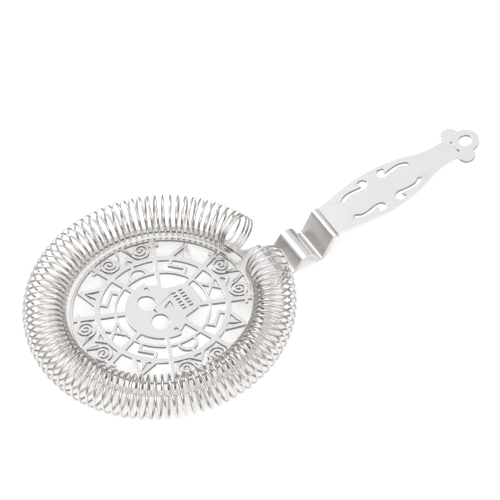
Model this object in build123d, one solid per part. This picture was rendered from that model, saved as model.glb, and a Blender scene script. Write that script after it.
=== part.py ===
from build123d import *
import os
from math import asin, cos, degrees, hypot, pi, radians, sin, sqrt, tan

# Hawthorne strainer: a pierced plate, stepped neck and handle in one bent sheet, and an open coil
# threaded round the plate's rim. All sizes are in millimetres. While modelling, the plate's centre
# is at X = Y = 0, its middle surface is at Z = 0 and the handle points along +X.

# ---- sheet and round plate ----
SHEET = 1.2                 # thickness of the sheet
PLATE_R = 37.8              # outside radius of the round plate
RIM_BAR = 2.1               # solid bar outside the coil's slot
SLOT_PLAY = 0.68            # the coil's slot is this much wider than the slanting wire in it
SLOT_INSET = 3.4            # the slot runs this far past the neck's edges at each end

# ---- pierced pattern, from the slot inwards ----
EDGE_RING = 1.0             # plain ring between the slot and the outer windows
OUTER_DEPTH = 7.6           # outer windows
OUTER_BAR = 1.8             # plain ring inside them
BAND_DEPTH = 5.1            # band of small windows
BAND_BAR = 0.8              # plain ring inside the band
SKULL_GAP = 3.0             # opening between that ring and the skull's dome
SPOKES = 8                  # radial bars, half a step off the handle's axis
SPOKE_WIDTH = 1.6
SPOKE_ROOT = 0.68           # they start inside the skull, share of the dome's radius
STROKE = 1.0                # width of the thin ornament bars
GUARD_LENGTH = 4.4          # cross-bar on each spoke in the outer windows
GUARD_IN = 2.1              # cross-bar, inwards from the edge ring
RAY_HALF_BASE = 4.0         # pointed rays in the four slanting windows
RAY_TIP_GAP = 0.6
RAY_STROKE = 1.3            # width of their outline
RAY_POINT = (1.33, 5.33)    # solid point inside each: half width and length
SCROLL_R = 3.1              # first and largest arc of each scroll
SCROLL_SIDE = 6.0           # scroll centre, sideways from the middle of its window
SCROLL_STEP = 0.75          # each half turn of a scroll is this much smaller
SCROLL_TURNS = 4            # half turns
SCROLL_EYE_R = 0.7
CHEVRON_HALF = 2.7
CHEVRON_RISE = 3.0

# ---- skull in the middle, dome away from the handle, in shares of the dome's radius ----
DOME_FOOT = (-0.08, 0.97)   # where the cheek leaves the dome
CHEEK = (0.24, 0.77)        # widest point of the cheekbone
JAW_TOP = (0.39, 0.55)
JAW_CORNER = (0.83, 0.46)
CHIN = (1.03, 0.26)
EYE_CENTRE = (-0.27, 0.37)
EYE_RADII = (0.235, 0.28)
EYE_SLANT = 14.0            # degrees
NOSE_TIP = 0.03
NOSE_LENGTH = 0.265
NOSE_HALF = 0.136
TOOTH_ROWS = (0.5, 0.705)   # middle of the upper and the lower row of gaps
TOOTH_GAPS = 6
TOOTH_PITCH = 0.117
TOOTH_SLIT = (0.129, 0.045)
TEMPLE_CENTRE = (-0.045, 0.8)
TEMPLE_R = 0.06

# ---- neck: straight runs of the bent strip, measured from the plate's edge ----
NECK_WIDTH = 14.5
NECK_ROOT_R = 2.0           # corner between the plate and the strip
NECK_BEND_R = 3.0           # radius of the bends, on the middle surface
BEND_SHARE = 0.45           # no bend takes up more of a straight run than this
NECK_FLAT = 3.2             # the outline is cut this far out in one flat piece
FIRST_DROP = 5.4            # where the first bend down starts
LOW_FLAT = (8.0, 12.0)      # lower bend, start and end
HUMP = (15.4, 19.1)         # raised step, start and end
HUMP_Z = 0.6
SECOND_LOW = (21.6, 23.5)   # second lower bend, start and end
CREST = (28.4, 4.4)         # rounded top of the strip, just before the handle
CREASE = 30.2               # where the handle starts
CREASE_Z = 4.2
CREASE_BEND_R = 1.0
HANDLE_RISE = 8.0           # slope of the handle, degrees

# ---- handle outline, along the handle from the crease ----
HANDLE_START = 2.0          # end of the plain strip
HANDLE_FLARE = (5, 1)       # direction in which the outline widens from there
HANDLE_WIDE = (20.5, 9.9)   # widest place: distance, half width
HANDLE_SHOULDER = (36.0, 7.8)
HANDLE_WAIST = (49.5, 4.7)
LOBE_CENTRE = (56.0, 5.5)
LOBE_R = 3.2
END_R = 5.0
HANG_HOLE_S = 59.3
HANG_HOLE_R = 2.5
# comma slots: centre line of one, and the distance that mirrors it to the far pair
COMMA_MIRROR_S = 22.9
COMMA_LINE = [(9.3, 4.2), (12.6, 5.5), (17.0, 5.0), (19.4, 5.3), (19.6, 7.0), (17.9, 7.3)]
COMMA_WIDTH = 1.5
COMMA_HEAD = (19.2, 6.2)
COMMA_HEAD_R = 1.5

# ---- coil ----
WIRE = 0.9                  # wire diameter
COIL_R = 7.35               # radius of a turn, to the middle of the wire
COIL_RISE = 4.1             # middle of the turns above the sheet's middle surface,
COIL_TILT = 1.16            # more beside the handle and less on the far side
SLOT_CROSS_OUT = 0.15       # the wire goes through this much outside the slot's middle line,
SLOT_CROSS_SHIFT = 0.38     # more on the far side and less beside the handle
TURN_PITCH = 3.7            # angle from turn to turn round the plate, degrees
CLOSED_GAP = 0.1            # between the wires of the closed end turns
CLOSED_TURNS = 2
START_PLAY = 10.5           # first end turn to the end of the slot, degrees
FINISH_PLAY = 5.7           # the same at the other end
LEAD_SWEEP = 160.0          # part of a turn before the first end turn, under the plate
TAIL_SWEEP = 230.0          # and after the last one, over the top and down outside
END_LEAN = 6.0              # how far the last turn's top leans over the neck, degrees
LEAN_TURNS = 3              # turns over which that lean comes on
SPANS = 3                   # pairs of arcs in each turn
LENGTHS = 16                # the wire is drawn as this many lengths, end to end in one node

STEEPEST = asin((COIL_RISE + COIL_TILT) / COIL_R)   # lean of the wire in the slot
SLOT_WIDTH = WIRE / cos(STEEPEST) + SHEET * tan(STEEPEST) + SLOT_PLAY
SLOT_OUT_R = PLATE_R - RIM_BAR
SLOT_IN_R = SLOT_OUT_R - SLOT_WIDTH
FIELD_R = SLOT_IN_R - EDGE_RING
OUTER_IN_R = FIELD_R - OUTER_DEPTH
BAND_OUT_R = OUTER_IN_R - OUTER_BAR
BAND_IN_R = BAND_OUT_R - BAND_DEPTH
MEDAL_OUT_R = BAND_IN_R - BAND_BAR
SKULL_R = MEDAL_OUT_R - SKULL_GAP
SLOT_CROSS_R = (SLOT_IN_R + SLOT_OUT_R) / 2 + SLOT_CROSS_OUT
SLOT_END = degrees(asin((NECK_WIDTH / 2 - SLOT_INSET) / SLOT_IN_R))
COIL_START = SLOT_END + START_PLAY
COIL_FINISH = SLOT_END + FINISH_PLAY
SPOKE_STEP = 360 / SPOKES
NARROWEST_R = SLOT_CROSS_R - SLOT_CROSS_SHIFT + COIL_R * (cos(STEEPEST) - 1)
CLOSED_PITCH = degrees((WIRE + CLOSED_GAP) / NARROWEST_R)


def polar(radius, angle):
    """Point at a radius and an angle in degrees."""
    return Vector(radius * cos(radians(angle)), radius * sin(radians(angle)))


def arc(radius, start, end):
    """Arc about the plate's centre."""
    return ThreePointArc(polar(radius, start), polar(radius, (start + end) / 2), polar(radius, end))


def arc_slot(inner, outer, start, end):
    """Annular opening between two radii and two angles."""
    outline = [
        arc(outer, start, end),
        Line(polar(outer, end), polar(inner, end)),
        arc(inner, end, start),
        Line(polar(inner, start), polar(outer, start)),
    ]
    return make_face(outline)


def ring(inner, outer):
    return Circle(outer) - Circle(inner)


def turned(shape, count, first=0.0):
    """The shape repeated evenly round the plate's centre."""
    return [Rot(0, 0, first + i * 360 / count) * shape for i in range(count)]


def both_sides(points):
    """A chain of points on +Y, closed by its mirror image on -Y."""
    return points + [(x, -y) for x, y in reversed(points)]


# ---------------------------------------------------------------- the pierced pattern

def spokes():
    """Radial bars from the skull to the edge ring, each with a small cross-bar."""
    inner = SKULL_R * SPOKE_ROOT
    length = SLOT_IN_R - inner
    bar = Pos(inner + length / 2, 0) * Rectangle(length, SPOKE_WIDTH)
    guard = Pos(FIELD_R - GUARD_IN, 0) * Rectangle(STROKE, GUARD_LENGTH)
    return turned(bar + guard, SPOKES, SPOKE_STEP / 2)


def ray():
    """Pointed outline standing in a slanting window, with a small solid point inside it."""
    base = OUTER_IN_R - STROKE
    tip = FIELD_R - RAY_TIP_GAP
    sides = Polyline((base, RAY_HALF_BASE), (tip - STROKE, 0), (base, -RAY_HALF_BASE))
    half, length = RAY_POINT
    point = make_face(Polyline((base, half), (base + length, 0), (base, -half), close=True))
    return trace(sides, RAY_STROKE) + point


def scroll():
    """Stem from the edge ring that curls up in ever smaller half turns to a round eye."""
    centre_r = OUTER_IN_R + SCROLL_R + STROKE / 4
    radii = [SCROLL_R - i * SCROLL_STEP for i in range(SCROLL_TURNS)]
    side = SCROLL_SIDE - SCROLL_R
    path = [Line((FIELD_R + EDGE_RING / 2, STROKE), (centre_r, side))]
    direction = 1
    for radius in radii:
        far = side + direction * 2 * radius
        middle = (centre_r - direction * radius, side + direction * radius)
        path.append(ThreePointArc((centre_r, side), middle, (centre_r, far)))
        side = far
        direction = -direction
    shape = Pos(centre_r, side) * Circle(SCROLL_EYE_R)
    for piece in path:
        shape += trace(piece, STROKE)
    return shape


def chevron():
    base = OUTER_IN_R - STROKE / 2
    line = Polyline((base, CHEVRON_HALF), (base + CHEVRON_RISE, 0), (base, -CHEVRON_HALF))
    return trace(line, STROKE)


def band_ornaments():
    """Bars inside the band windows: a bow tie, a step key and a leaf, round the band."""
    low = BAND_IN_R - STROKE / 2
    high = BAND_OUT_R + STROKE / 2
    middle = (low + high) / 2
    half = (high - low) / 2
    bow = trace(Line((low, -half), (high, half)), STROKE)
    bow += trace(Line((low, half), (high, -half)), STROKE)
    step = trace(Polyline((low, -half), (middle, -half), (middle, half), (high, half)), STROKE)
    leaf = trace(ThreePointArc((low, -half), (middle + half / 3, 0), (low, half)), STROKE)
    leaf += trace(Line((middle + half / 3, 0), (high, 0)), STROKE)
    shapes = turned(bow, 2) + turned(leaf, 2, 90)
    return shapes + turned(step, 4, 45)


def on_face(point):
    """A point of the skull, from shares of the dome's radius to millimetres."""
    return (point[0] * SKULL_R, point[1] * SKULL_R)


def skull():
    """Plain skull seen from the front: dome, cheekbones and jaw."""
    dome = Circle(SKULL_R) & Pos(-SKULL_R, 0) * Rectangle(2 * SKULL_R, 2 * SKULL_R)
    outline = [on_face(point) for point in (DOME_FOOT, CHEEK, JAW_TOP, JAW_CORNER, CHIN)]
    return dome + make_face(Polyline(*both_sides(outline), close=True))


def skull_openings():
    """Eyes, nose, temples and the gaps between the teeth."""
    nose_foot = NOSE_TIP + NOSE_LENGTH
    nose = [on_face(p) for p in ((NOSE_TIP, 0), (nose_foot, NOSE_HALF), (nose_foot, -NOSE_HALF))]
    shapes = [make_face(Polyline(*nose, close=True))]
    for side in (1, -1):
        eye = Rot(0, 0, side * EYE_SLANT) * Ellipse(*on_face(EYE_RADII))
        eye_x, eye_y = on_face(EYE_CENTRE)
        shapes.append(Pos(eye_x, side * eye_y) * eye)
        temple_x, temple_y = on_face(TEMPLE_CENTRE)
        shapes.append(Pos(temple_x, side * temple_y) * Circle(TEMPLE_R * SKULL_R))
    for row in TOOTH_ROWS:
        for i in range(TOOTH_GAPS):
            place = on_face((row, (i - (TOOTH_GAPS - 1) / 2) * TOOTH_PITCH))
            shapes.append(Pos(*place) * SlotOverall(*on_face(TOOTH_SLIT)))
    return shapes


def less(area, shapes):
    """An opening with the ornament bars left standing in it."""
    for shape in shapes:
        area -= shape
    return area


def piercings():
    """Every opening cut through the round plate."""
    bars = spokes()
    around = less(Circle(MEDAL_OUT_R), [skull()] + bars)
    band = less(ring(BAND_IN_R, BAND_OUT_R), bars + band_ornaments())
    mirrored = mirror(scroll(), Plane.XZ)
    ornaments = turned(ray(), 4, 45) + turned(chevron(), 4)
    ornaments += turned(scroll(), 4) + turned(mirrored, 4)
    outer = less(ring(OUTER_IN_R, FIELD_R), bars + ornaments)
    slot = arc_slot(SLOT_IN_R, SLOT_OUT_R, SLOT_END, 360 - SLOT_END)
    return [around, band, outer, slot] + skull_openings()


# ---------------------------------------------------------------- the sheet piece

def round_plate():
    """Round plate with the flat root of the neck."""
    reach = PLATE_R + NECK_FLAT
    outline = Circle(PLATE_R) + Pos(reach / 2, 0) * Rectangle(reach, NECK_WIDTH)
    corners = [v for v in outline.vertices() if 0.01 < v.X < reach - 0.01]
    outline = fillet(corners, NECK_ROOT_R)
    plate = Pos(0, 0, -SHEET / 2) * extrude(outline, SHEET)
    for opening in piercings():
        plate -= Pos(0, 0, -SHEET) * extrude(opening, 2 * SHEET)
    return plate


def neck_low_z():
    """Middle surface of the two lower bends, which stand on the same level as the coil."""
    return turn_centre(180)[1] - COIL_R - WIRE / 2 + SHEET / 2


def handle_plane():
    """Plane of the handle: origin on the crease, local X along the handle."""
    slope = radians(HANDLE_RISE)
    return Plane(origin=(PLATE_R + CREASE, 0, CREASE_Z), x_dir=(cos(slope), 0, sin(slope)),
                 z_dir=(-sin(slope), 0, cos(slope)))


def bend_radius(before, corner, after, wanted):
    """The wanted radius, or what the shorter of the two runs has room for."""
    one = (corner[0] - before[0], corner[1] - before[1])
    two = (after[0] - corner[0], after[1] - corner[1])
    run = min(hypot(*one), hypot(*two))
    turn = Vector(*one).get_angle(Vector(*two))
    return min(wanted, BEND_SHARE * run / tan(radians(turn / 2)))


def neck():
    """Bent strip between the flat plate and the handle."""
    low = neck_low_z()
    slope = radians(HANDLE_RISE)
    end = (CREASE + HANDLE_START * cos(slope), CREASE_Z + HANDLE_START * sin(slope))
    runs = [
        (NECK_FLAT, 0), (FIRST_DROP, 0), (LOW_FLAT[0], low), (LOW_FLAT[1], low),
        (HUMP[0], HUMP_Z), (HUMP[1], HUMP_Z), (SECOND_LOW[0], low), (SECOND_LOW[1], low),
        CREST, (CREASE, CREASE_Z), end,
    ]
    wanted = [NECK_BEND_R] * (len(runs) - 3) + [CREASE_BEND_R]
    radii = [bend_radius(*runs[i:i + 3], radius) for i, radius in enumerate(wanted)]
    centre_line = FilletPolyline(*[(PLATE_R + x, z) for x, z in runs], radius=radii)
    section = offset(centre_line, amount=SHEET / 2, side=Side.BOTH)
    return extrude(Plane.XZ * make_face(section), NECK_WIDTH / 2, both=True)


def handle():
    """Flat handle with its waist, three lobes, hanging hole and comma slots."""
    half = NECK_WIDTH / 2
    waist_tip = (LOBE_CENTRE[0] - LOBE_R / 2, HANDLE_WAIST[1])
    points = [(HANDLE_START, half), HANDLE_WIDE, HANDLE_SHOULDER, HANDLE_WAIST]
    near = Spline(*points, tangents=[HANDLE_FLARE, (1, 0)])
    far = mirror(near, Plane.XZ)
    blade = make_face([
        near,
        Line(HANDLE_WAIST, waist_tip),
        Line(waist_tip, (waist_tip[0], -waist_tip[1])),
        Line((waist_tip[0], -waist_tip[1]), (HANDLE_WAIST[0], -HANDLE_WAIST[1])),
        far,
        Line((HANDLE_START, -half), (HANDLE_START, half)),
    ])
    outline = blade + Pos(HANG_HOLE_S, 0) * Circle(END_R)
    for side in (1, -1):
        outline += Pos(LOBE_CENTRE[0], side * LOBE_CENTRE[1]) * Circle(LOBE_R)
    outline -= Pos(HANG_HOLE_S, 0) * Circle(HANG_HOLE_R)
    line = Spline(*COMMA_LINE)
    comma = trace(line, COMMA_WIDTH) + Pos(*COMMA_HEAD) * Circle(COMMA_HEAD_R)
    comma += Pos(*COMMA_LINE[0]) * Circle(COMMA_WIDTH / 2)
    comma += Pos(*COMMA_LINE[-1]) * Circle(COMMA_WIDTH / 2)
    across = Plane(origin=(COMMA_MIRROR_S, 0, 0), z_dir=(1, 0, 0))
    for first in (comma, mirror(comma, across)):
        outline -= first
        outline -= mirror(first, Plane.XZ)
    flat = Pos(0, 0, -SHEET / 2) * extrude(outline, SHEET)
    return handle_plane() * flat


def strainer_plate():
    return round_plate() + neck() + handle()


# ---------------------------------------------------------------- the coil

def coil_angles():
    """Angle round the plate at the start of each turn, from one end to the other."""
    first, last = COIL_START, 360 - COIL_FINISH
    closed = 2 * CLOSED_TURNS * CLOSED_PITCH
    open_turns = round((last - first - closed) / TURN_PITCH)
    pitch = (last - first - closed) / open_turns
    steps = [CLOSED_PITCH] * CLOSED_TURNS + [pitch] * open_turns + [CLOSED_PITCH] * CLOSED_TURNS
    angles = [first]
    for step in steps:
        angles.append(angles[-1] + step)
    return angles


def angle_at(turns, angles):
    """Angle round the plate after so many turns. Both cut ends keep the closed turns' pitch."""
    whole = max(0, min(int(turns), len(angles) - 2))
    return angles[whole] + (turns - whole) * (angles[whole + 1] - angles[whole])


def turn_centre(around):
    """Radius and height of a turn's centre at an angle round the plate. Every turn is the same
    circle, and goes through the slot at the sheet's middle surface."""
    towards_handle = cos(radians(around))
    rise = COIL_RISE + COIL_TILT * towards_handle
    cross = SLOT_CROSS_R - SLOT_CROSS_SHIFT * towards_handle
    return cross + sqrt(COIL_R ** 2 - rise ** 2), rise


def wire_point(turns, angles):
    """Middle of the wire after so many turns. A whole number is at the inside of the ring,
    where the wire goes up through the slot. The last turns' tops lean over the neck."""
    around = angle_at(turns, angles)
    ring_r, rise = turn_centre(around)
    turn = pi + asin(rise / COIL_R) - 2 * pi * turns
    last_turns = min(max(0, (turns - len(angles) + 1) / LEAN_TURNS + 1), 1)
    lean = END_LEAN * last_turns * (1 + sin(turn)) / 2
    point = polar(ring_r + COIL_R * cos(turn), around + lean)
    return Vector(point.X, point.Y, rise + COIL_R * sin(turn))

def joined_arcs(start, start_dir, end, end_dir):
    """Two arcs that leave and arrive in the given directions and meet without a corner."""
    gap = end - start
    both = start_dir + end_dir
    bend = 2 * (1 - start_dir.dot(end_dir))
    along = gap.dot(both)
    reach = (sqrt(along ** 2 + bend * gap.dot(gap)) - along) / bend
    first_corner = start + start_dir * reach
    second_corner = end - end_dir * reach
    middle = (first_corner + second_corner) * 0.5
    middle_dir = (second_corner - first_corner).normalized()
    return [Edge.make_tangent_arc(start, start_dir, middle),
            Edge.make_tangent_arc(middle, middle_dir, end)]


def coil_spring():
    """Wire wound through the slot and round the rim, turn by turn. It is one wire, drawn as equal
    lengths that meet face to face, because a whole ring of turns is too much for one solid."""
    angles = coil_angles()
    lead = LEAD_SWEEP / 360
    turns = lead + len(angles) - 1 + TAIL_SWEEP / 360
    count = round(turns * SPANS)
    stations = [turns * i / count - lead for i in range(count + 1)]
    small = 1e-4
    points = [wire_point(t, angles) for t in stations]
    directions = [(wire_point(t + small, angles) - wire_point(t - small, angles)).normalized()
                  for t in stations]
    cuts = [round(count * i / LENGTHS) for i in range(LENGTHS + 1)]
    lengths = []
    wire_length = 0
    for first, last in zip(cuts, cuts[1:]):
        edges = []
        for i in range(first, last):
            edges += joined_arcs(points[i], directions[i], points[i + 1], directions[i + 1])
        path = Wire(edges)
        section = Plane(origin=points[first], z_dir=directions[first]) * Circle(WIRE / 2)
        lengths += sweep(section, path=path).solids()
        wire_length += path.length
    wire = Compound(lengths)
    expected = pi * WIRE ** 2 / 4 * wire_length
    print("coil turns", len(angles) - 1, "wire length", round(wire_length, 1),
          "volume", round(wire.volume, 1), "expected", round(expected, 1))
    return wire


# ---------------------------------------------------------------- place and write

pieces = {"strainer_plate": strainer_plate(), "coil_spring": coil_spring()}

# The row's origin is at the middle of the footprint's length, on the handle's centre line, on the
# table that the coil and the neck's lower bends stand on.
whole = Compound(list(pieces.values())).bounding_box()
origin_shift = Pos(-(whole.min.X + whole.max.X) / 2, 0, -whole.min.Z)

os.makedirs("parts", exist_ok=True)
for name, shape in pieces.items():
    placed = origin_shift * shape
    export_step(placed, "parts/" + name + ".step")
    print(name, "solids", len(placed.solids()), "volume", round(placed.volume, 1))
print("origin shift", [round(v, 4) for v in tuple(origin_shift.position)])
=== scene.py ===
import bpy
import bmesh
from math import asin, cos, pi, radians, sin, tan
from mathutils import Matrix, Vector


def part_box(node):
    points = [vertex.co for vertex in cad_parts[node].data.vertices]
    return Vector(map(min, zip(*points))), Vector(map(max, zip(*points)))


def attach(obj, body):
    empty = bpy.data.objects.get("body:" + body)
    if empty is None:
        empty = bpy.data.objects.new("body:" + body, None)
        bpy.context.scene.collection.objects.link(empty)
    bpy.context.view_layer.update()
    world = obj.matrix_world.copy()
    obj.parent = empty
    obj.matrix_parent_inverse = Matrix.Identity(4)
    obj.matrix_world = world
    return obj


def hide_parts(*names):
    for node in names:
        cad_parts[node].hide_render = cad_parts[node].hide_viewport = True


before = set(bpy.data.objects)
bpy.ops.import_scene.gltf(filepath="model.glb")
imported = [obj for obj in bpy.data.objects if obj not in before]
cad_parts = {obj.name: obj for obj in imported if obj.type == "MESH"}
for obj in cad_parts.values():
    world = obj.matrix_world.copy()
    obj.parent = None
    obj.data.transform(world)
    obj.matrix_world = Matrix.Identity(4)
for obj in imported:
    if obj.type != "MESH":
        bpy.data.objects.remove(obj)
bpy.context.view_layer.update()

# ---------------------------------------------------------------- pierced plate, neck and handle
# One blank of stainless sheet, 1.2 mm thick: cut with all its openings, tumbled until every edge
# is rounded over (the rounded faces painted lighter, a painted highlight), bent into the stepped
# neck, and brushed along its length. The coil and the camera take their places from the round
# plate's centre too.

sheet_thickness = 0.0012
edge_rounding = 0.00013
edge_steps = 2
shortest_cut = 0.00008      # finer steps along a cut edge than this are drawn as one
sharp_edge = radians(32)
plate_radius = 0.0378
plate_level = 0.00486       # middle of the sheet above the table
neck_start = 0.041          # first bend of the neck, out from the plate's centre
crease = 0.068              # fold between the neck and the handle
# width of the painted shadow line laid along the fold
painted_shadow_line_width = 0.0004
handle_slope = radians(8)
wall_tilt = 0.3             # a face whose normal rises less than this is a cut wall
outline_share = 1.9         # only the outline's wall is longer than this many plate radii
flat_enough = 0.9999        # cosine of the angle at which a face still counts as flat
plate_centre = Vector((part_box("strainer_plate")[0].x + plate_radius, 0, plate_level))


def add_node(tree, kind, place, **settings):
    """A node at a place in the tree. Settings are its properties, or its inputs by name."""
    node = tree.nodes.new(kind)
    node.location = place
    for name, value in settings.items():
        if hasattr(node, name):
            setattr(node, name, value)
        else:
            node.inputs[name.replace("_", " ").title()].default_value = value
    return node


def new_group(name, kind, inputs, outputs):
    """An empty node group with its sockets, and its input and output nodes."""
    tree = bpy.data.node_groups.new(name, kind)
    for label, socket, value in inputs:
        item = tree.interface.new_socket(name=label, in_out="INPUT", socket_type=socket)
        if value is not None:
            item.default_value = value
    for label, socket in outputs:
        tree.interface.new_socket(name=label, in_out="OUTPUT", socket_type=socket)
    return tree, tree.nodes.new("NodeGroupInput"), tree.nodes.new("NodeGroupOutput")


def steel_surface_group():
    """Drawn or brushed steel: fine lines along X of the vector, cloudy handling marks, and a few
    stray scratches. It gives a tone near 1, a roughness and a height."""
    tree, given, result = new_group(
        "steel surface", "ShaderNodeTree",
        [("Vector", "NodeSocketVector", None), ("Line Scale", "NodeSocketFloat", 9000.0),
         ("Line Stretch", "NodeSocketFloat", 0.03), ("Cloud Scale", "NodeSocketFloat", 60.0),
         ("Line Tone", "NodeSocketFloat", 0.08), ("Cloud Tone", "NodeSocketFloat", 0.05),
         ("Roughness", "NodeSocketFloat", 0.2), ("Roughness Spread", "NodeSocketFloat", 0.08)],
        [("Tone", "NodeSocketFloat"), ("Roughness", "NodeSocketFloat"),
         ("Height", "NodeSocketFloat")])
    link = tree.links.new
    stretch = add_node(tree, "ShaderNodeCombineXYZ", (-900, 200))
    stretch.inputs["Y"].default_value = 1.0
    stretch.inputs["Z"].default_value = 1.0
    link(given.outputs["Line Stretch"], stretch.inputs["X"])
    along = add_node(tree, "ShaderNodeVectorMath", (-720, 200), operation="MULTIPLY")
    link(given.outputs["Vector"], along.inputs[0])
    link(stretch.outputs[0], along.inputs[1])
    lines = add_node(tree, "ShaderNodeTexNoise", (-540, 260), detail=3.0)
    link(along.outputs[0], lines.inputs["Vector"])
    link(given.outputs["Line Scale"], lines.inputs["Scale"])
    clouds = add_node(tree, "ShaderNodeTexNoise", (-540, 0), detail=4.0, distortion=0.6)
    link(given.outputs["Vector"], clouds.inputs["Vector"])
    link(given.outputs["Cloud Scale"], clouds.inputs["Scale"])
    hairs = add_node(tree, "ShaderNodeTexNoise", (-540, -260), detail=1.0, distortion=2.5)
    link(given.outputs["Vector"], hairs.inputs["Vector"])
    hair_scale = add_node(tree, "ShaderNodeMath", (-720, -320), operation="MULTIPLY")
    hair_scale.inputs[1].default_value = 6.0
    link(given.outputs["Cloud Scale"], hair_scale.inputs[0])
    link(hair_scale.outputs[0], hairs.inputs["Scale"])
    hair = add_node(tree, "ShaderNodeMapRange", (-340, -260))
    for name, value in (("From Min", 0.496), ("From Max", 0.5)):
        hair.inputs[name].default_value = value
    link(hairs.outputs["Fac"], hair.inputs["Value"])
    hair_gap = add_node(tree, "ShaderNodeMath", (-160, -260), operation="PINGPONG")
    hair_gap.inputs[1].default_value = 0.5
    link(hair.outputs[0], hair_gap.inputs[0])

    def about_one(noise, amount, place):
        shift = add_node(tree, "ShaderNodeMath", place, operation="SUBTRACT")
        shift.inputs[1].default_value = 0.5
        link(noise, shift.inputs[0])
        scale = add_node(tree, "ShaderNodeMath", (place[0] + 160, place[1]), operation="MULTIPLY")
        link(shift.outputs[0], scale.inputs[0])
        link(amount, scale.inputs[1])
        return scale.outputs[0]

    line_tone = about_one(lines.outputs["Fac"], given.outputs["Line Tone"], (-340, 340))
    cloud_tone = about_one(clouds.outputs["Fac"], given.outputs["Cloud Tone"], (-340, 180))
    both = add_node(tree, "ShaderNodeMath", (20, 260), operation="ADD")
    link(line_tone, both.inputs[0])
    link(cloud_tone, both.inputs[1])
    tone = add_node(tree, "ShaderNodeMath", (180, 260), operation="ADD")
    tone.inputs[1].default_value = 1.0
    link(both.outputs[0], tone.inputs[0])
    link(tone.outputs[0], result.inputs["Tone"])

    cloud_rough = about_one(clouds.outputs["Fac"], given.outputs["Roughness Spread"], (-340, 20))
    rough = add_node(tree, "ShaderNodeMath", (20, 20), operation="ADD")
    link(cloud_rough, rough.inputs[0])
    link(given.outputs["Roughness"], rough.inputs[1])
    hair_rough = add_node(tree, "ShaderNodeMath", (180, 20), operation="MULTIPLY_ADD")
    hair_rough.inputs[1].default_value = 0.12
    link(hair_gap.outputs[0], hair_rough.inputs[0])
    link(rough.outputs[0], hair_rough.inputs[2])
    link(hair_rough.outputs[0], result.inputs["Roughness"])

    height = add_node(tree, "ShaderNodeMath", (180, -200), operation="SUBTRACT")
    link(lines.outputs["Fac"], height.inputs[0])
    link(hair_gap.outputs[0], height.inputs[1])
    link(height.outputs[0], result.inputs["Height"])
    return tree


steel_surface = steel_surface_group()


def steel_material(name, colour, vector_of, values, bump, edge_marks_and_painted_light=()):
    """Bare stainless steel. vector_of gives the pattern's vector socket in the tree, and
    edge_marks_and_painted_light the marks on the mesh whose faces are lighter or darker, smoother or rougher."""
    material = bpy.data.materials.new(name)
    material.use_nodes = True
    tree = material.node_tree
    link = tree.links.new
    shader = tree.nodes["Principled BSDF"]
    shader.inputs["Metallic"].default_value = 1.0
    surface = add_node(tree, "ShaderNodeGroup", (-520, 100), node_tree=steel_surface)
    for label, value in values.items():
        surface.inputs[label].default_value = value
    link(vector_of(tree), surface.inputs["Vector"])
    steel = add_node(tree, "ShaderNodeRGB", (-520, 320))
    steel.outputs[0].default_value = (*colour, 1)
    toned = add_node(tree, "ShaderNodeVectorMath", (-300, 260), operation="SCALE")
    link(steel.outputs[0], toned.inputs[0])
    link(surface.outputs["Tone"], toned.inputs["Scale"])
    colour_out, rough_out = toned.outputs[0], surface.outputs["Roughness"]
    for step, (mark, tone_change, rough_change) in enumerate(edge_marks_and_painted_light):
        place = step * 180
        masked = add_node(tree, "ShaderNodeAttribute", (-520 + place, -200), attribute_name=mark)
        lift = add_node(tree, "ShaderNodeMath", (-300 + place, -120), operation="MULTIPLY_ADD")
        lift.inputs[1].default_value = tone_change
        lift.inputs[2].default_value = 1.0
        link(masked.outputs["Fac"], lift.inputs[0])
        toned = add_node(tree, "ShaderNodeVectorMath", (-120 + place, 260), operation="SCALE")
        link(colour_out, toned.inputs[0])
        link(lift.outputs[0], toned.inputs["Scale"])
        ground = add_node(tree, "ShaderNodeMath", (-120 + place, -60), operation="MULTIPLY_ADD")
        ground.inputs[1].default_value = rough_change
        link(masked.outputs["Fac"], ground.inputs[0])
        link(rough_out, ground.inputs[2])
        colour_out, rough_out = toned.outputs[0], ground.outputs[0]
    link(colour_out, shader.inputs["Base Color"])
    link(rough_out, shader.inputs["Roughness"])
    relief = add_node(tree, "ShaderNodeBump", (-120, -260))
    relief.inputs["Strength"].default_value = bump
    relief.inputs["Distance"].default_value = 0.00002
    link(surface.outputs["Height"], relief.inputs["Height"])
    link(relief.outputs[0], shader.inputs["Normal"])
    return material


def object_vector(tree):
    return add_node(tree, "ShaderNodeTexCoord", (-720, 0)).outputs["Object"]


# The rounded edges are painted lighter, a painted highlight; the walls of the openings and a thin
# line at the fold are painted darker, painted shade; the neck is drawn a little darker and rougher.
polished_sheet = steel_material(
    "polished sheet", (0.72, 0.708, 0.702), object_vector,
    {"Line Scale": 6500.0, "Line Stretch": 0.02, "Cloud Scale": 55.0, "Line Tone": 0.07,
     "Cloud Tone": 0.06, "Roughness": 0.2, "Roughness Spread": 0.1},
    bump=0.12, edge_marks_and_painted_light=[("rounded_polish_and_highlight", 0.12, -0.08), ("cut_wall_rough_and_shaded", -0.62, 0.2), ("neck", -0.13, 0.13),
                            ("crease", -0.55, 0.1)])

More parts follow.
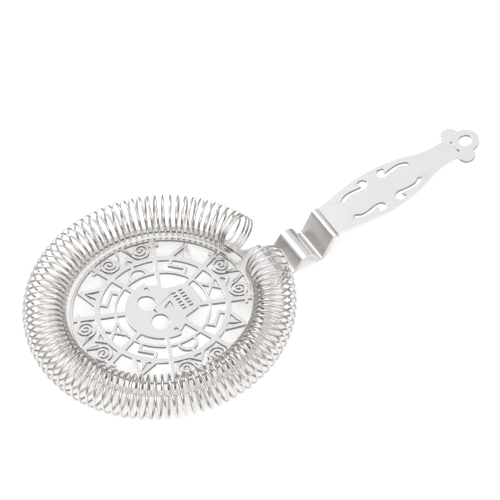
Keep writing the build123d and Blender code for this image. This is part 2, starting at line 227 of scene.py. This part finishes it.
blank = bmesh.new()
blank.from_mesh(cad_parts["strainer_plate"].data)
bmesh.ops.remove_doubles(blank, verts=blank.verts, dist=shortest_cut)
bmesh.ops.dissolve_limit(blank, angle_limit=radians(0.5), verts=blank.verts, edges=blank.edges)
bmesh.ops.triangulate(blank, faces=blank.faces)
blank_mesh = bpy.data.meshes.new("plate blank")
blank.to_mesh(blank_mesh)
blank.free()
blank_mesh.materials.clear()
blank_mesh.materials.append(polished_sheet)
blank_mesh.materials.append(polished_sheet)
blank_mesh.shade_smooth()
plate_blank = bpy.data.objects.new("plate_blank", blank_mesh)
bpy.context.scene.collection.objects.link(plate_blank)
tumbling = plate_blank.modifiers.new("tumbled edges", "BEVEL")
tumbling.width = edge_rounding
tumbling.segments = edge_steps
tumbling.limit_method = "ANGLE"
tumbling.angle_limit = sharp_edge
tumbling.use_clamp_overlap = False
tumbling.material = 1
flat_faces = plate_blank.modifiers.new("flat faces stay flat", "WEIGHTED_NORMAL")
flat_faces.mode = "FACE_AREA"
flat_faces.keep_sharp = False


def baked_mesh(piece, name):
    """The piece's mesh with its modifiers carried out. The piece that stood for them goes."""
    bpy.context.view_layer.update()
    state = bpy.context.evaluated_depsgraph_get()
    drawn = piece.evaluated_get(state)
    mesh = bpy.data.meshes.new_from_object(drawn, preserve_all_data_layers=True, depsgraph=state)
    mesh.name = name
    piece.modifiers.clear()
    bpy.data.objects.remove(piece)
    result = bpy.data.objects.new(name, mesh)
    bpy.context.scene.collection.objects.link(result)
    return result


plate = baked_mesh(plate_blank, "plate_and_handle")
faces = plate.data.polygons
is_round = [face.material_index == 1 for face in faces]

# Walls of the openings are left as they were cut, dull and rougher, and are painted darker as
# painted shade for the shadow inside the openings. The outline's wall is polished and keeps its
# tone.
beside = {}
for face in faces:
    if not is_round[face.index] and abs(face.normal.z) < wall_tilt:
        for edge in face.edge_keys:
            beside.setdefault(edge, []).append(face.index)
walls = {}
for pair in beside.values():
    for index in pair:
        walls.setdefault(index, set()).update(pair)
opening_walls_rough_and_shaded = [0.0] * len(faces)
while walls:
    loop, waiting = set(), [next(iter(walls))]
    while waiting:
        index = waiting.pop()
        loop.add(index)
        waiting.extend(walls.pop(index, set()) - loop)
    along = [faces[index].center.x for index in loop]
    if max(along) - min(along) < outline_share * plate_radius:
        for index in loop:
            opening_walls_rough_and_shaded[index] = 1.0

# The neck is drawn a little darker and rougher, and a thin line is painted darker where the handle
# is folded up: a painted shadow line at the fold.
from_centre = [face.center.x - plate_centre.x for face in faces]
# Marks: a painted highlight on the bevel faces, painted shade on the walls of the openings, a
# painted shadow line at the fold, and a darker, rougher neck.
marks = {"rounded_polish_and_highlight": [float(value) for value in is_round], "cut_wall_rough_and_shaded": opening_walls_rough_and_shaded,
         "neck": [float(neck_start < x < crease - painted_shadow_line_width) for x in from_centre],
         "crease": [float(crease - painted_shadow_line_width <= x < crease) for x in from_centre]}
for mark, values in marks.items():
    plate.data.attributes.new(mark, "FLOAT", "FACE").data.foreach_set("value", values)
faces.foreach_set("material_index", [0] * len(faces))
plate.data.materials.clear()
plate.data.materials.append(polished_sheet)

# The plate and the handle are dead flat, so their corners take their face's own direction.
flats = [Vector((0, 0, 1)), Vector((-sin(handle_slope), 0, cos(handle_slope)))]
corner_directions = [corner.vector.copy() for corner in plate.data.corner_normals]
for face in faces:
    if not is_round[face.index] and max(abs(face.normal.dot(flat)) for flat in flats) > flat_enough:
        for corner in face.loop_indices:
            corner_directions[corner] = face.normal.copy()
plate.data.normals_split_custom_set(corner_directions)
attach(plate, "plate")
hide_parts("strainer_plate")

# ---------------------------------------------------------------- coil
# One length of bright drawn stainless wire, 0.9 mm thick, wound into 91 turns that go up through
# the plate's ring slot and round its rim. The turns stand 3.7 degrees apart, the last two at each
# end lie close, and nothing but the slot holds the wire.

wire_thickness = 0.0009
turn_radius = 0.00735
turn_rise = 0.0041          # middle of the turns above the plate, and how much more of it there is
turn_tilt = 0.00116         # beside the neck than on the far side
slot_play = 0.00068
rim_bar = 0.0021
cross_out = 0.00015
cross_shift = 0.00038
closed_turns = 2
closed_gap = 0.0001
open_turns = 87
lead_turns = 160 / 360      # cut end under the plate, before the first whole turn
tail_turns = 230 / 360      # cut end after the last one, over the top and down outside
start_play = radians(10.5)
finish_play = radians(5.7)
end_lean = radians(6)       # the last turns' tops lean this far over the neck
lean_turns = 3
neck_half = 0.00725
slot_inset = 0.0034
points_per_turn = 56
wire_sides = 12
unevenness = radians(0.3)   # hand-wound turns are never quite evenly spaced

steepest = asin((turn_rise + turn_tilt) / turn_radius)
slot_width = wire_thickness / cos(steepest) + sheet_thickness * tan(steepest) + slot_play
slot_outside = plate_radius - rim_bar
slot_end = asin((neck_half - slot_inset) / (slot_outside - slot_width))
crossing = slot_outside - slot_width / 2 + cross_out
narrowest = crossing - cross_shift + turn_radius * (cos(steepest) - 1)
closed_pitch = (wire_thickness + closed_gap) / narrowest
first_angle = slot_end + start_play
sweep = 2 * pi - slot_end - finish_play - first_angle - 2 * closed_turns * closed_pitch
open_pitch = sweep / open_turns


def coil_tree():
    """The node group that winds the wire round the plate's rim."""
    inputs = [("Turn Radius", turn_radius), ("Rise", turn_rise), ("Tilt", turn_tilt),
              ("Crossing", crossing), ("Crossing Shift", cross_shift),
              ("First Angle", first_angle), ("Open Pitch", open_pitch),
              ("Closed Pitch", closed_pitch), ("Open Turns", float(open_turns)),
              ("Closed Turns", float(closed_turns)), ("Lead Turns", lead_turns),
              ("Tail Turns", tail_turns), ("End Lean", end_lean),
              ("Lean Turns", float(lean_turns)),
              ("Wire Radius", wire_thickness / 2), ("Unevenness", unevenness)]
    tree, given, result = new_group(
        "wound coil", "GeometryNodeTree",
        [(label, "NodeSocketFloat", value) for label, value in inputs]
        + [("Points per Turn", "NodeSocketInt", points_per_turn),
           ("Wire Sides", "NodeSocketInt", wire_sides), ("Seed", "NodeSocketInt", 7),
           ("Centre", "NodeSocketVector", None), ("Material", "NodeSocketMaterial", None)],
        [("Geometry", "NodeSocketGeometry")])
    value = given.outputs
    link = tree.links.new
    column = [0]

    def maths(operation, *terms):
        column[0] += 1
        node = add_node(tree, "ShaderNodeMath", (160 * (column[0] // 4), -160 * (column[0] % 4)),
                        operation=operation)
        for socket, term in zip(node.inputs, terms):
            if isinstance(term, (int, float)):
                socket.default_value = term
            else:
                link(term, socket)
        return node.outputs[0]

    closed = value["Closed Turns"]
    whole_turns = maths("MULTIPLY_ADD", closed, 2.0, value["Open Turns"])
    all_turns = maths("ADD", maths("ADD", whole_turns, value["Lead Turns"]), value["Tail Turns"])
    steps = maths("ROUND", maths("MULTIPLY", all_turns, value["Points per Turn"]))
    index = add_node(tree, "GeometryNodeInputIndex", (-400, 0)).outputs[0]
    share = maths("DIVIDE", index, steps)
    turns = maths("SUBTRACT", maths("MULTIPLY", share, all_turns), value["Lead Turns"])

    # angle round the plate: close turns, open turns, and close turns again
    first_close = maths("MULTIPLY", maths("MINIMUM", turns, closed), value["Closed Pitch"])
    past_close = maths("MAXIMUM", maths("SUBTRACT", turns, closed), 0.0)
    opened = maths("MULTIPLY", maths("MINIMUM", past_close, value["Open Turns"]),
                   value["Open Pitch"])
    last_start = maths("ADD", closed, value["Open Turns"])
    last_close = maths("MULTIPLY", maths("MAXIMUM", maths("SUBTRACT", turns, last_start), 0.0),
                       value["Closed Pitch"])
    wobble = add_node(tree, "ShaderNodeTexNoise", (-400, -400), noise_dimensions="2D")
    wobble.inputs["Scale"].default_value = 1.0
    wobble.inputs["Detail"].default_value = 1.0
    where = add_node(tree, "ShaderNodeCombineXYZ", (-560, -400))
    link(maths("MULTIPLY", turns, 0.7), where.inputs["X"])
    link(value["Seed"], where.inputs["Y"])
    link(where.outputs[0], wobble.inputs["Vector"])
    inside = maths("MINIMUM", maths("MINIMUM", past_close, 1.0),
                   maths("MINIMUM", maths("MAXIMUM", maths("SUBTRACT", last_start, turns), 0.0),
                         1.0))
    uneven = maths("MULTIPLY", maths("MULTIPLY_ADD", wobble.outputs["Fac"], 2.0, -1.0),
                   maths("MULTIPLY", inside, value["Unevenness"]))
    around = maths("ADD", value["First Angle"], first_close)
    for more in (opened, last_close, uneven):
        around = maths("ADD", around, more)

    # where the turn's centre is at that angle, and how far the wire has gone round it
    to_handle = maths("COSINE", around)
    rise = maths("MULTIPLY_ADD", value["Tilt"], to_handle, value["Rise"])
    radius = value["Turn Radius"]
    cross = maths("SUBTRACT", value["Crossing"],
                  maths("MULTIPLY", value["Crossing Shift"], to_handle))
    out = maths("SQRT", maths("SUBTRACT", maths("MULTIPLY", radius, radius),
                              maths("MULTIPLY", rise, rise)))
    lead_in = maths("ADD", maths("ARCSINE", maths("DIVIDE", rise, radius)), pi)
    turned = maths("MULTIPLY_ADD", turns, -2 * pi, lead_in)
    from_centre = maths("ADD", maths("ADD", cross, out),
                        maths("MULTIPLY", radius, maths("COSINE", turned)))
    to_last = maths("SUBTRACT", maths("SUBTRACT", turns, closed), last_start)
    last_turns = maths("ADD", maths("DIVIDE", to_last, value["Lean Turns"]), 1.0)
    last_turns = maths("MINIMUM", maths("MAXIMUM", last_turns, 0.0), 1.0)
    height = maths("MULTIPLY_ADD", maths("SINE", turned), 0.5, 0.5)
    around = maths("ADD", around, maths("MULTIPLY", maths("MULTIPLY", height, last_turns),
                                        value["End Lean"]))
    point = add_node(tree, "ShaderNodeCombineXYZ", (2400, 0))
    link(maths("MULTIPLY", from_centre, maths("COSINE", around)), point.inputs["X"])
    link(maths("MULTIPLY", from_centre, maths("SINE", around)), point.inputs["Y"])
    link(maths("MULTIPLY_ADD", radius, maths("SINE", turned), rise), point.inputs["Z"])
    placed = add_node(tree, "ShaderNodeVectorMath", (2560, 0), operation="ADD")
    link(point.outputs[0], placed.inputs[0])
    link(value["Centre"], placed.inputs[1])

    strip = add_node(tree, "GeometryNodeMeshLine", (2560, 300))
    link(maths("ADD", steps, 1.0), strip.inputs["Count"])
    wound = add_node(tree, "GeometryNodeSetPosition", (2740, 300))
    link(strip.outputs[0], wound.inputs["Geometry"])
    link(placed.outputs[0], wound.inputs["Position"])
    along = add_node(tree, "GeometryNodeStoreNamedAttribute", (2920, 300))
    along.inputs["Name"].default_value = "turns_along"
    link(wound.outputs[0], along.inputs["Geometry"])
    link(turns, along.inputs["Value"])
    path = add_node(tree, "GeometryNodeMeshToCurve", (3100, 300))
    link(along.outputs[0], path.inputs["Mesh"])
    # the cut ends are nipped: the last point of each is a little thinner
    at_end = maths("MINIMUM", maths("MINIMUM", index, maths("SUBTRACT", steps, index)), 1.0)
    thick = maths("MULTIPLY_ADD", at_end, 0.22, 0.78)
    section = add_node(tree, "GeometryNodeCurvePrimitiveCircle", (3100, 100))
    link(value["Wire Sides"], section.inputs["Resolution"])
    link(value["Wire Radius"], section.inputs["Radius"])
    side = add_node(tree, "GeometryNodeStoreNamedAttribute", (3280, 100))
    side.inputs["Name"].default_value = "side"
    link(section.outputs[0], side.inputs["Geometry"])
    turn_share = add_node(tree, "GeometryNodeInputIndex", (3100, -60)).outputs[0]
    link(maths("DIVIDE", turn_share, value["Wire Sides"]), side.inputs["Value"])
    drawn = add_node(tree, "GeometryNodeCurveToMesh", (3460, 300))
    link(path.outputs[0], drawn.inputs["Curve"])
    link(side.outputs[0], drawn.inputs["Profile Curve"])
    link(thick, drawn.inputs["Scale"])
    drawn.inputs["Fill Caps"].default_value = True
    smooth = add_node(tree, "GeometryNodeSetShadeSmooth", (3640, 300))
    link(drawn.outputs[0], smooth.inputs["Geometry"])
    real = add_node(tree, "GeometryNodeRealizeInstances", (3820, 300))
    link(smooth.outputs[0], real.inputs[0])
    finish = add_node(tree, "GeometryNodeSetMaterial", (4000, 300))
    link(real.outputs[0], finish.inputs["Geometry"])
    link(value["Material"], finish.inputs["Material"])
    link(finish.outputs[0], result.inputs["Geometry"])
    return tree


def wire_vector(tree):
    """Along the wire and round it, in metres, so that the die's drawing lines follow the wire."""
    link = tree.links.new
    along = add_node(tree, "ShaderNodeAttribute", (-1100, 100), attribute_name="turns_along")
    length = add_node(tree, "ShaderNodeMath", (-900, 100), operation="MULTIPLY")
    length.inputs[1].default_value = 2 * pi * turn_radius
    link(along.outputs["Fac"], length.inputs[0])
    side = add_node(tree, "ShaderNodeAttribute", (-1100, -100), attribute_name="side")
    angle = add_node(tree, "ShaderNodeMath", (-900, -100), operation="MULTIPLY")
    angle.inputs[1].default_value = 2 * pi
    link(side.outputs["Fac"], angle.inputs[0])
    vector = add_node(tree, "ShaderNodeCombineXYZ", (-560, 0))
    link(length.outputs[0], vector.inputs["X"])
    for name, operation in (("Y", "COSINE"), ("Z", "SINE")):
        turn = add_node(tree, "ShaderNodeMath", (-740, -100), operation=operation)
        link(angle.outputs[0], turn.inputs[0])
        reach = add_node(tree, "ShaderNodeMath", (-640, -100), operation="MULTIPLY")
        reach.inputs[1].default_value = wire_thickness / 2
        link(turn.outputs[0], reach.inputs[0])
        link(reach.outputs[0], vector.inputs[name])
    return vector.outputs[0]


drawn_wire = steel_material(
    "drawn wire", (0.68, 0.668, 0.66), wire_vector,
    {"Line Scale": 5200.0, "Line Stretch": 0.012, "Cloud Scale": 90.0, "Line Tone": 0.09,
     "Cloud Tone": 0.05, "Roughness": 0.16, "Roughness Spread": 0.08},
    bump=0.1)

winding = bpy.data.objects.new("winding", bpy.data.meshes.new("winding"))
bpy.context.scene.collection.objects.link(winding)
winder = winding.modifiers.new("wound coil", "NODES")
winder.node_group = coil_tree()
for item in winder.node_group.interface.items_tree:
    if item.in_out == "INPUT" and item.name == "Centre":
        winder[item.identifier] = plate_centre
    if item.in_out == "INPUT" and item.name == "Material":
        winder[item.identifier] = drawn_wire
coil = baked_mesh(winding, "wire_coil")
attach(coil, "coil")
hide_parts("coil_spring")

# ---------------------------------------------------------------- table, light and camera
# A seamless white table under a large soft light from behind and a weaker one from in front, in
# a white room that darkens towards the table, which the slopes of the bent sheet pick up.

table_half = 3.0
table_drop = 0.00005        # the table lies this far under the feet, so that nothing shares a face
table_mesh = bpy.data.meshes.new("table")
corners = [(-table_half, -table_half), (table_half, -table_half),
           (table_half, table_half), (-table_half, table_half)]
table_mesh.from_pydata([(x, y, -table_drop) for x, y in corners], [], [(0, 1, 2, 3)])
table = bpy.data.objects.new("table", table_mesh)
bpy.context.scene.collection.objects.link(table)
white_table = bpy.data.materials.new("white table")
white_table.use_nodes = True
table_shader = white_table.node_tree.nodes["Principled BSDF"]
table_shader.inputs["Base Color"].default_value = (0.93, 0.93, 0.925, 1)
table_shader.inputs["Roughness"].default_value = 0.7
table_shader.inputs["Specular IOR Level"].default_value = 0.2
table_shader.inputs["Emission Color"].default_value = (1.0, 0.995, 0.985, 1)
table_shader.inputs["Emission Strength"].default_value = 0.33
table_mesh.materials.append(white_table)

room = bpy.data.worlds.new("white room")
room.use_nodes = True
bpy.context.scene.world = room
room_tree = room.node_tree
room_link = room_tree.links.new
direction = add_node(room_tree, "ShaderNodeTexCoord", (-900, 0))
height = add_node(room_tree, "ShaderNodeSeparateXYZ", (-700, 0))
room_link(direction.outputs["Generated"], height.inputs[0])
band = add_node(room_tree, "ShaderNodeValToRGB", (-500, 0))
stops = [(0.0, (0.05, 0.04, 0.038)), (0.28, (0.24, 0.19, 0.18)), (0.50, (0.72, 0.70, 0.69)),
         (0.62, (1.0, 1.0, 1.0)), (1.0, (1.0, 1.0, 1.0))]
while len(band.color_ramp.elements) < len(stops):
    band.color_ramp.elements.new(0.5)
for element, (place, colour) in zip(band.color_ramp.elements, stops):
    element.position = place
    element.color = (*colour, 1)
room_link(height.outputs["Z"], band.inputs[0])
seen = add_node(room_tree, "ShaderNodeLightPath", (-500, 260))
mix = add_node(room_tree, "ShaderNodeMix", (-250, 60), data_type="RGBA")
room_link(seen.outputs["Is Camera Ray"], mix.inputs[0])
room_link(band.outputs[0], mix.inputs[6])
mix.inputs[7].default_value = (0.98, 0.98, 0.98, 1)
background = room_tree.nodes["Background"]
room_link(mix.outputs[2], background.inputs["Color"])
background.inputs["Strength"].default_value = 1.1


def soft_light(name, place, width, depth, power):
    """A rectangular soft light that faces the plate."""
    lamp = bpy.data.lights.new(name, "AREA")
    lamp.shape = "RECTANGLE"
    lamp.size = width
    lamp.size_y = depth
    lamp.energy = power
    holder = bpy.data.objects.new(name, lamp)
    holder.location = place
    away = Vector(place) - plate_centre
    holder.rotation_euler = away.to_track_quat("Z", "Y").to_euler()
    bpy.context.scene.collection.objects.link(holder)


soft_light("back light", (-0.30, 0.85, 0.95), 0.6, 0.5, 3.5)
soft_light("front light", (-0.20, -0.75, 0.75), 0.7, 0.4, 1.6)

azimuth, elevation, roll = radians(-28.936), radians(49.62), radians(2.716)
backwards = Vector((sin(azimuth) * cos(elevation), -cos(azimuth) * cos(elevation), sin(elevation)))
level_right = Vector((cos(azimuth), sin(azimuth), 0))
level_up = backwards.cross(level_right)
right = cos(roll) * level_right - sin(roll) * level_up
up = sin(roll) * level_right + cos(roll) * level_up
lens = bpy.data.cameras.new("camera")
lens.sensor_width = 36.0
lens.lens = 172.8
lens.clip_end = 20
camera = bpy.data.objects.new("camera", lens)
aim = plate_centre + 0.03036 * right + 0.02066 * up
stand = aim + 0.8366 * backwards
turned = Matrix((right, up, backwards)).transposed().to_4x4()
camera.matrix_world = Matrix.Translation(stand) @ turned
bpy.context.scene.collection.objects.link(camera)
bpy.context.scene.camera = camera
bpy.context.scene.view_settings.view_transform = "Standard"
